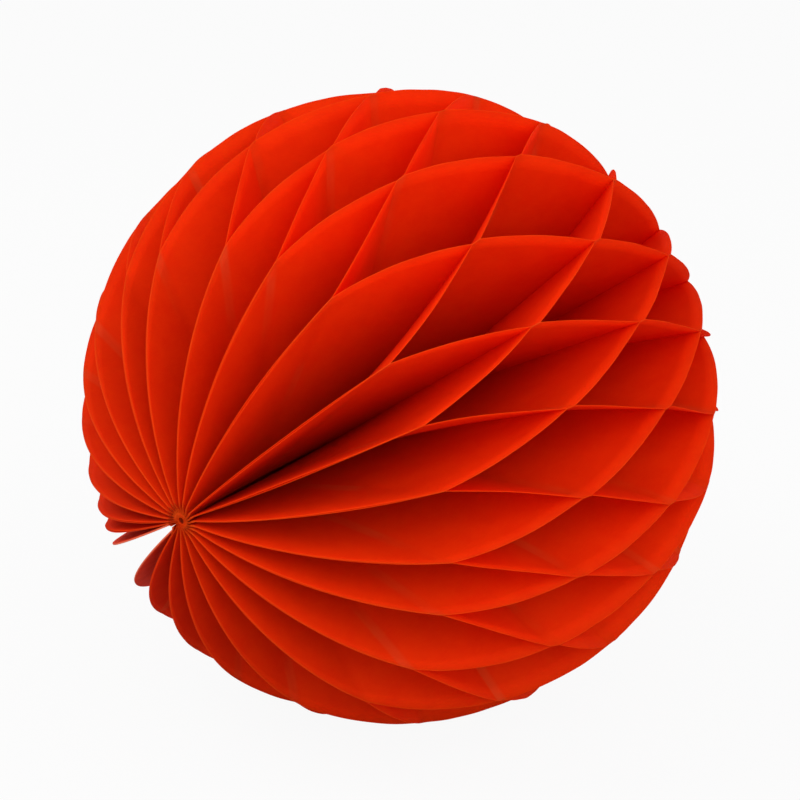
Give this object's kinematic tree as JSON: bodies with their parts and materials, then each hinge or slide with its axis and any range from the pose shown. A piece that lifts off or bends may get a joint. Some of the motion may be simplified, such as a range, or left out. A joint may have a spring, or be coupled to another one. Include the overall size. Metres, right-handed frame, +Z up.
{
  "type": "paper honeycomb ball",
  "caption": "Tissue-paper honeycomb ball: half-round leaves bound at a spine, glued in alternating rings and fanned open between two card covers.",
  "frame": {"origin": "centre of the open ball, on the axis of the spine's thread hole", "axes": "+Z up with the ball lying on its side, +Y along the spine, the spine end that faces the viewer at -Y, +X to the right"},
  "size_m": [0.15, 0.15, 0.149],
  "materials": {
    "leaf_paper": "matte",
    "cover_card": "matte",
    "binding": "matte",
    "tape": "satin"
  },
  "bodies": {
    "spine": {"spine_binding": "binding"},
    "lower_cover": {"lower_cover": "cover_card", "closing_tape_front": "tape", "closing_tape_back": "tape"},
    "upper_cover": {"upper_cover": "cover_card"},
    "leaf_01": {"leaf_01": "leaf_paper"},
    "leaf_02": {"leaf_02": "leaf_paper"},
    "leaf_03": {"leaf_03": "leaf_paper"},
    "leaf_04": {"leaf_04": "leaf_paper"},
    "leaf_05": {"leaf_05": "leaf_paper"},
    "leaf_06": {"leaf_06": "leaf_paper"},
    "leaf_07": {"leaf_07": "leaf_paper"},
    "leaf_08": {"leaf_08": "leaf_paper"},
    "leaf_09": {"leaf_09": "leaf_paper"},
    "leaf_10": {"leaf_10": "leaf_paper"},
    "leaf_11": {"leaf_11": "leaf_paper"},
    "leaf_12": {"leaf_12": "leaf_paper"},
    "leaf_13": {"leaf_13": "leaf_paper"},
    "leaf_14": {"leaf_14": "leaf_paper"},
    "leaf_15": {"leaf_15": "leaf_paper"},
    "leaf_16": {"leaf_16": "leaf_paper"},
    "leaf_17": {"leaf_17": "leaf_paper"},
    "leaf_18": {"leaf_18": "leaf_paper"},
    "leaf_19": {"leaf_19": "leaf_paper"},
    "leaf_20": {"leaf_20": "leaf_paper"},
    "leaf_21": {"leaf_21": "leaf_paper"},
    "leaf_22": {"leaf_22": "leaf_paper"},
    "leaf_23": {"leaf_23": "leaf_paper"},
    "leaf_24": {"leaf_24": "leaf_paper"},
    "leaf_25": {"leaf_25": "leaf_paper"},
    "leaf_26": {"leaf_26": "leaf_paper"},
    "leaf_27": {"leaf_27": "leaf_paper"},
    "leaf_28": {"leaf_28": "leaf_paper"},
    "leaf_29": {"leaf_29": "leaf_paper"},
    "leaf_30": {"leaf_30": "leaf_paper"},
    "leaf_31": {"leaf_31": "leaf_paper"},
    "leaf_32": {"leaf_32": "leaf_paper"},
    "leaf_33": {"leaf_33": "leaf_paper"},
    "leaf_34": {"leaf_34": "leaf_paper"},
    "leaf_35": {"leaf_35": "leaf_paper"},
    "leaf_36": {"leaf_36": "leaf_paper"},
    "leaf_37": {"leaf_37": "leaf_paper"},
    "leaf_38": {"leaf_38": "leaf_paper"},
    "leaf_39": {"leaf_39": "leaf_paper"},
    "leaf_40": {"leaf_40": "leaf_paper"},
    "leaf_41": {"leaf_41": "leaf_paper"},
    "leaf_42": {"leaf_42": "leaf_paper"},
    "leaf_43": {"leaf_43": "leaf_paper"},
    "leaf_44": {"leaf_44": "leaf_paper"}
  },
  "joints": [
    {"name": "lower_cover_fold", "type": "hinge", "parent": "spine", "child": "lower_cover", "pos_m": [0, 0, 0], "axis": [0, -1, 0], "range_deg": [-6.2, 173.5]},
    {"name": "upper_cover_fold", "type": "hinge", "parent": "spine", "child": "upper_cover", "pos_m": [0, 0, 0], "axis": [0, 1, 0], "range_deg": [-6.2, 162.5]},
    {"name": "leaf_01_fan", "type": "hinge", "parent": "spine", "child": "leaf_01", "pos_m": [0, 0, 0], "axis": [0, -1, 0], "range_deg": [-6.09, 169.2], "deforming": ["leaf_01"]},
    {"name": "leaf_02_fan", "type": "hinge", "parent": "spine", "child": "leaf_02", "pos_m": [0, 0, 0], "axis": [0, -1, 0], "range_deg": [-5.82, 161.56], "deforming": ["leaf_02"]},
    {"name": "leaf_03_fan", "type": "hinge", "parent": "spine", "child": "leaf_03", "pos_m": [0, 0, 0], "axis": [0, -1, 0], "range_deg": [-5.59, 155.02], "deforming": ["leaf_03"]},
    {"name": "leaf_04_fan", "type": "hinge", "parent": "spine", "child": "leaf_04", "pos_m": [0, 0, 0], "axis": [0, -1, 0], "range_deg": [-5.35, 148.24], "deforming": ["leaf_04"]},
    {"name": "leaf_05_fan", "type": "hinge", "parent": "spine", "child": "leaf_05", "pos_m": [0, 0, 0], "axis": [0, -1, 0], "range_deg": [-5.09, 141.19], "deforming": ["leaf_05"]},
    {"name": "leaf_06_fan", "type": "hinge", "parent": "spine", "child": "leaf_06", "pos_m": [0, 0, 0], "axis": [0, -1, 0], "range_deg": [-4.8, 132.97], "deforming": ["leaf_06"]},
    {"name": "leaf_07_fan", "type": "hinge", "parent": "spine", "child": "leaf_07", "pos_m": [0, 0, 0], "axis": [0, -1, 0], "range_deg": [-4.46, 123.51], "deforming": ["leaf_07"]},
    {"name": "leaf_08_fan", "type": "hinge", "parent": "spine", "child": "leaf_08", "pos_m": [0, 0, 0], "axis": [0, -1, 0], "range_deg": [-4.1, 113.33], "deforming": ["leaf_08"]},
    {"name": "leaf_09_fan", "type": "hinge", "parent": "spine", "child": "leaf_09", "pos_m": [0, 0, 0], "axis": [0, -1, 0], "range_deg": [-3.71, 102.43], "deforming": ["leaf_09"]},
    {"name": "leaf_10_fan", "type": "hinge", "parent": "spine", "child": "leaf_10", "pos_m": [0, 0, 0], "axis": [0, -1, 0], "range_deg": [-3.34, 92.13], "deforming": ["leaf_10"]},
    {"name": "leaf_11_fan", "type": "hinge", "parent": "spine", "child": "leaf_11", "pos_m": [0, 0, 0], "axis": [0, -1, 0], "range_deg": [-2.99, 82.45], "deforming": ["leaf_11"]},
    {"name": "leaf_12_fan", "type": "hinge", "parent": "spine", "child": "leaf_12", "pos_m": [0, 0, 0], "axis": [0, -1, 0], "range_deg": [-2.66, 72.99], "deforming": ["leaf_12"]},
    {"name": "leaf_13_fan", "type": "hinge", "parent": "spine", "child": "leaf_13", "pos_m": [0, 0, 0], "axis": [0, -1, 0], "range_deg": [-2.33, 63.78], "deforming": ["leaf_13"]},
    {"name": "leaf_14_fan", "type": "hinge", "parent": "spine", "child": "leaf_14", "pos_m": [0, 0, 0], "axis": [0, -1, 0], "range_deg": [-2.04, 55.78], "deforming": ["leaf_14"]},
    {"name": "leaf_15_fan", "type": "hinge", "parent": "spine", "child": "leaf_15", "pos_m": [0, 0, 0], "axis": [0, -1, 0], "range_deg": [-1.8, 48.99], "deforming": ["leaf_15"]},
    {"name": "leaf_16_fan", "type": "hinge", "parent": "spine", "child": "leaf_16", "pos_m": [0, 0, 0], "axis": [0, -1, 0], "range_deg": [-1.53, 41.48], "deforming": ["leaf_16"]},
    {"name": "leaf_17_fan", "type": "hinge", "parent": "spine", "child": "leaf_17", "pos_m": [0, 0, 0], "axis": [0, -1, 0], "range_deg": [-1.24, 33.24], "deforming": ["leaf_17"]},
    {"name": "leaf_18_fan", "type": "hinge", "parent": "spine", "child": "leaf_18", "pos_m": [0, 0, 0], "axis": [0, -1, 0], "range_deg": [-0.96, 25.49], "deforming": ["leaf_18"]},
    {"name": "leaf_19_fan", "type": "hinge", "parent": "spine", "child": "leaf_19", "pos_m": [0, 0, 0], "axis": [0, -1, 0], "range_deg": [-0.7, 18.22], "deforming": ["leaf_19"]},
    {"name": "leaf_20_fan", "type": "hinge", "parent": "spine", "child": "leaf_20", "pos_m": [0, 0, 0], "axis": [0, -1, 0], "range_deg": [-0.44, 10.95], "deforming": ["leaf_20"]},
    {"name": "leaf_21_fan", "type": "hinge", "parent": "spine", "child": "leaf_21", "pos_m": [0, 0, 0], "axis": [0, -1, 0], "range_deg": [-0.18, 3.68], "deforming": ["leaf_21"]},
    {"name": "leaf_22_fan", "type": "hinge", "parent": "spine", "child": "leaf_22", "pos_m": [0, 0, 0], "axis": [0, 1, 0], "range_deg": [-0.23, 4.76], "deforming": ["leaf_22"]},
    {"name": "leaf_23_fan", "type": "hinge", "parent": "spine", "child": "leaf_23", "pos_m": [0, 0, 0], "axis": [0, 1, 0], "range_deg": [-0.59, 14.2], "deforming": ["leaf_23"]},
    {"name": "leaf_24_fan", "type": "hinge", "parent": "spine", "child": "leaf_24", "pos_m": [0, 0, 0], "axis": [0, 1, 0], "range_deg": [-0.92, 22.9], "deforming": ["leaf_24"]},
    {"name": "leaf_25_fan", "type": "hinge", "parent": "spine", "child": "leaf_25", "pos_m": [0, 0, 0], "axis": [0, 1, 0], "range_deg": [-1.23, 30.88], "deforming": ["leaf_25"]},
    {"name": "leaf_26_fan", "type": "hinge", "parent": "spine", "child": "leaf_26", "pos_m": [0, 0, 0], "axis": [0, 1, 0], "range_deg": [-1.52, 38.5], "deforming": ["leaf_26"]},
    {"name": "leaf_27_fan", "type": "hinge", "parent": "spine", "child": "leaf_27", "pos_m": [0, 0, 0], "axis": [0, 1, 0], "range_deg": [-1.79, 45.74], "deforming": ["leaf_27"]},
    {"name": "leaf_28_fan", "type": "hinge", "parent": "spine", "child": "leaf_28", "pos_m": [0, 0, 0], "axis": [0, 1, 0], "range_deg": [-2.14, 54.7], "deforming": ["leaf_28"]},
    {"name": "leaf_29_fan", "type": "hinge", "parent": "spine", "child": "leaf_29", "pos_m": [0, 0, 0], "axis": [0, 1, 0], "range_deg": [-2.54, 65.34], "deforming": ["leaf_29"]},
    {"name": "leaf_30_fan", "type": "hinge", "parent": "spine", "child": "leaf_30", "pos_m": [0, 0, 0], "axis": [0, 1, 0], "range_deg": [-2.87, 74.05], "deforming": ["leaf_30"]},
    {"name": "leaf_31_fan", "type": "hinge", "parent": "spine", "child": "leaf_31", "pos_m": [0, 0, 0], "axis": [0, 1, 0], "range_deg": [-3.13, 80.81], "deforming": ["leaf_31"]},
    {"name": "leaf_32_fan", "type": "hinge", "parent": "spine", "child": "leaf_32", "pos_m": [0, 0, 0], "axis": [0, 1, 0], "range_deg": [-3.43, 88.68], "deforming": ["leaf_32"]},
    {"name": "leaf_33_fan", "type": "hinge", "parent": "spine", "child": "leaf_33", "pos_m": [0, 0, 0], "axis": [0, 1, 0], "range_deg": [-3.77, 97.62], "deforming": ["leaf_33"]},
    {"name": "leaf_34_fan", "type": "hinge", "parent": "spine", "child": "leaf_34", "pos_m": [0, 0, 0], "axis": [0, 1, 0], "range_deg": [-4.08, 105.72], "deforming": ["leaf_34"]},
    {"name": "leaf_35_fan", "type": "hinge", "parent": "spine", "child": "leaf_35", "pos_m": [0, 0, 0], "axis": [0, 1, 0], "range_deg": [-4.36, 112.97], "deforming": ["leaf_35"]},
    {"name": "leaf_36_fan", "type": "hinge", "parent": "spine", "child": "leaf_36", "pos_m": [0, 0, 0], "axis": [0, 1, 0], "range_deg": [-4.62, 119.88], "deforming": ["leaf_36"]},
    {"name": "leaf_37_fan", "type": "hinge", "parent": "spine", "child": "leaf_37", "pos_m": [0, 0, 0], "axis": [0, 1, 0], "range_deg": [-4.87, 126.39], "deforming": ["leaf_37"]},
    {"name": "leaf_38_fan", "type": "hinge", "parent": "spine", "child": "leaf_38", "pos_m": [0, 0, 0], "axis": [0, 1, 0], "range_deg": [-5.12, 132.81], "deforming": ["leaf_38"]},
    {"name": "leaf_39_fan", "type": "hinge", "parent": "spine", "child": "leaf_39", "pos_m": [0, 0, 0], "axis": [0, 1, 0], "range_deg": [-5.36, 139.1], "deforming": ["leaf_39"]},
    {"name": "leaf_40_fan", "type": "hinge", "parent": "spine", "child": "leaf_40", "pos_m": [0, 0, 0], "axis": [0, 1, 0], "range_deg": [-5.56, 144.53], "deforming": ["leaf_40"]},
    {"name": "leaf_41_fan", "type": "hinge", "parent": "spine", "child": "leaf_41", "pos_m": [0, 0, 0], "axis": [0, 1, 0], "range_deg": [-5.74, 149.13], "deforming": ["leaf_41"]},
    {"name": "leaf_42_fan", "type": "hinge", "parent": "spine", "child": "leaf_42", "pos_m": [0, 0, 0], "axis": [0, 1, 0], "range_deg": [-5.88, 152.88], "deforming": ["leaf_42"]},
    {"name": "leaf_43_fan", "type": "hinge", "parent": "spine", "child": "leaf_43", "pos_m": [0, 0, 0], "axis": [0, 1, 0], "range_deg": [-5.99, 155.77], "deforming": ["leaf_43"]},
    {"name": "leaf_44_fan", "type": "hinge", "parent": "spine", "child": "leaf_44", "pos_m": [0, 0, 0], "axis": [0, 1, 0], "range_deg": [-6.15, 159.89], "deforming": ["leaf_44"]}
  ],
  "couplings": [
    {"joint": "leaf_01_fan", "follows": "lower_cover_fold", "ratio": 0.9749},
    {"joint": "leaf_02_fan", "follows": "lower_cover_fold", "ratio": 0.9309},
    {"joint": "leaf_03_fan", "follows": "lower_cover_fold", "ratio": 0.8932},
    {"joint": "leaf_04_fan", "follows": "lower_cover_fold", "ratio": 0.8541},
    {"joint": "leaf_05_fan", "follows": "lower_cover_fold", "ratio": 0.8135},
    {"joint": "leaf_06_fan", "follows": "lower_cover_fold", "ratio": 0.7661},
    {"joint": "leaf_07_fan", "follows": "lower_cover_fold", "ratio": 0.7116},
    {"joint": "leaf_08_fan", "follows": "lower_cover_fold", "ratio": 0.6529},
    {"joint": "leaf_09_fan", "follows": "lower_cover_fold", "ratio": 0.5901},
    {"joint": "leaf_10_fan", "follows": "lower_cover_fold", "ratio": 0.5307},
    {"joint": "leaf_11_fan", "follows": "lower_cover_fold", "ratio": 0.4749},
    {"joint": "leaf_12_fan", "follows": "lower_cover_fold", "ratio": 0.4204},
    {"joint": "leaf_13_fan", "follows": "lower_cover_fold", "ratio": 0.3673},
    {"joint": "leaf_14_fan", "follows": "lower_cover_fold", "ratio": 0.3212},
    {"joint": "leaf_15_fan", "follows": "lower_cover_fold", "ratio": 0.2821},
    {"joint": "leaf_16_fan", "follows": "lower_cover_fold", "ratio": 0.2388},
    {"joint": "leaf_17_fan", "follows": "lower_cover_fold", "ratio": 0.1913},
    {"joint": "leaf_18_fan", "follows": "lower_cover_fold", "ratio": 0.1466},
    {"joint": "leaf_19_fan", "follows": "lower_cover_fold", "ratio": 0.1047},
    {"joint": "leaf_20_fan", "follows": "lower_cover_fold", "ratio": 0.0628},
    {"joint": "leaf_21_fan", "follows": "lower_cover_fold", "ratio": 0.0209},
    {"joint": "leaf_22_fan", "follows": "upper_cover_fold", "ratio": 0.029},
    {"joint": "leaf_23_fan", "follows": "upper_cover_fold", "ratio": 0.0871},
    {"joint": "leaf_24_fan", "follows": "upper_cover_fold", "ratio": 0.1406},
    {"joint": "leaf_25_fan", "follows": "upper_cover_fold", "ratio": 0.1897},
    {"joint": "leaf_26_fan", "follows": "upper_cover_fold", "ratio": 0.2366},
    {"joint": "leaf_27_fan", "follows": "upper_cover_fold", "ratio": 0.2812},
    {"joint": "leaf_28_fan", "follows": "upper_cover_fold", "ratio": 0.3363},
    {"joint": "leaf_29_fan", "follows": "upper_cover_fold", "ratio": 0.4018},
    {"joint": "leaf_30_fan", "follows": "upper_cover_fold", "ratio": 0.4554},
    {"joint": "leaf_31_fan", "follows": "upper_cover_fold", "ratio": 0.497},
    {"joint": "leaf_32_fan", "follows": "upper_cover_fold", "ratio": 0.5454},
    {"joint": "leaf_33_fan", "follows": "upper_cover_fold", "ratio": 0.6004},
    {"joint": "leaf_34_fan", "follows": "upper_cover_fold", "ratio": 0.6503},
    {"joint": "leaf_35_fan", "follows": "upper_cover_fold", "ratio": 0.6949},
    {"joint": "leaf_36_fan", "follows": "upper_cover_fold", "ratio": 0.7374},
    {"joint": "leaf_37_fan", "follows": "upper_cover_fold", "ratio": 0.7775},
    {"joint": "leaf_38_fan", "follows": "upper_cover_fold", "ratio": 0.817},
    {"joint": "leaf_39_fan", "follows": "upper_cover_fold", "ratio": 0.8557},
    {"joint": "leaf_40_fan", "follows": "upper_cover_fold", "ratio": 0.8891},
    {"joint": "leaf_41_fan", "follows": "upper_cover_fold", "ratio": 0.9174},
    {"joint": "leaf_42_fan", "follows": "upper_cover_fold", "ratio": 0.9405},
    {"joint": "leaf_43_fan", "follows": "upper_cover_fold", "ratio": 0.9583},
    {"joint": "leaf_44_fan", "follows": "upper_cover_fold", "ratio": 0.9836}
  ]
}
